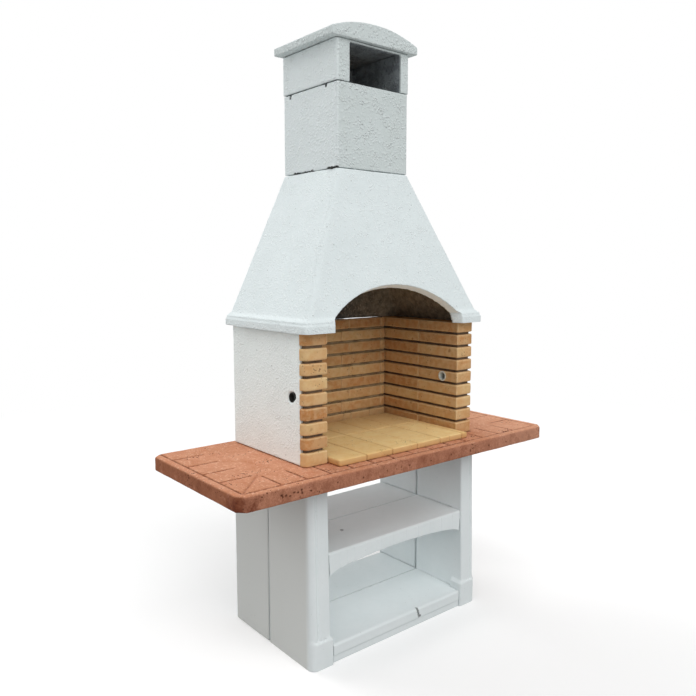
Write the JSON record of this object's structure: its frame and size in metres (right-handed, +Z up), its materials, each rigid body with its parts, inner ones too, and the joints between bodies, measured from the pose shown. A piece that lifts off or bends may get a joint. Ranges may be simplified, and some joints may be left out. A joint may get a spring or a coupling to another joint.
{
  "type": "outdoor masonry barbecue",
  "caption": "Free-standing masonry barbecue: open shelved base, overhanging patterned worktop, brick firebox, tapering hood with an arched mouth, and a roofed chimney.",
  "frame": {"origin": "on the ground, under the middle of the worktop", "axes": "+Z up, +X along the worktop to the right as the user faces it, the open front of the firebox faces -Y"},
  "size_m": [1.51, 0.62, 2.2791],
  "materials": {
    "paint": "matte",
    "stucco": "matte",
    "worktop": "matte",
    "brick": "matte",
    "tile": "matte",
    "mortar": "matte",
    "steel": "satin"
  },
  "bodies": {
    "root": {"left_front_side": "paint", "left_rear_side": "paint", "right_front_side": "paint", "right_rear_side": "paint", "front_floor": "paint", "rear_floor": "paint", "front_shelf": "paint", "rear_shelf": "paint", "worktop": "worktop", "hearth_tile_front_1": "tile", "hearth_tile_front_2": "tile", "hearth_tile_front_3": "tile", "hearth_tile_front_4": "tile", "hearth_tile_front_5": "tile", "hearth_tile_front_6": "tile", "hearth_tile_rear_1": "tile", "hearth_tile_rear_2": "tile", "hearth_tile_rear_3": "tile", "hearth_tile_rear_4": "tile", "hearth_tile_rear_5": "tile", "hearth_tile_rear_6": "tile", "left_course_1": "brick", "left_course_2": "brick", "left_course_3": "brick", "left_course_4": "brick", "left_course_5": "brick", "left_course_6": "brick", "left_course_7": "brick", "left_course_8": "brick", "left_course_9": "brick", "left_mortar": "mortar", "left_panel": "stucco", "right_course_1": "brick", "right_course_2": "brick", "right_course_3": "brick", "right_course_4": "brick", "right_course_5": "brick", "right_course_6": "brick", "right_course_7": "brick", "right_course_8": "brick", "right_course_9": "brick", "right_mortar": "mortar", "right_panel": "stucco", "back_course_1": "brick", "back_course_2": "brick", "back_course_3": "brick", "back_course_4": "brick", "back_course_5": "brick", "back_course_6": "brick", "back_course_7": "brick", "back_course_8": "brick", "back_course_9": "brick", "back_mortar": "mortar", "back_panel": "stucco", "left_spit_sleeve": "steel", "right_spit_sleeve": "steel", "hood": "stucco", "chimney_stack": "stucco", "chimney_cap": "stucco", "roof_slab": "stucco"}
  },
  "joints": []
}
